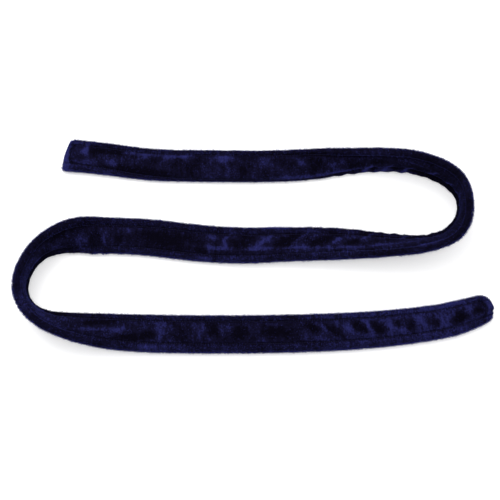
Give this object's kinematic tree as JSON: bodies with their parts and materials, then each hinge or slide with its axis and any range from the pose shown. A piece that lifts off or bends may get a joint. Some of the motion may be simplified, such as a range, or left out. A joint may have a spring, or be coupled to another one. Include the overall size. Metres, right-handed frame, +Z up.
{
  "type": "flat velvet barrier rope",
  "caption": "Flat double-layer velvet barrier band with rolled topstitched edges and plain closed ends, lying in a loose S.",
  "frame": {"origin": "middle of the lying band's outline, on the surface that it lies on", "axes": "+X along the long strands, towards the second half's closed end; +Z up from the surface"},
  "size_m": [0.598, 0.2902, 0.0498],
  "materials": {
    "velvet": "soft pile",
    "interlining": "matte felt",
    "thread": "satin"
  },
  "bodies": {
    "root": {"face_velvet_first_half": "velvet", "face_velvet_second_half": "velvet", "back_velvet_first_half": "velvet", "back_velvet_second_half": "velvet", "interlining": "interlining", "face_join_thread": "thread", "back_join_thread": "thread", "left_edge_seam_thread": "thread", "right_edge_seam_thread": "thread", "topstitch_needle_thread": "thread", "topstitch_bobbin_thread": "thread"}
  },
  "joints": []
}
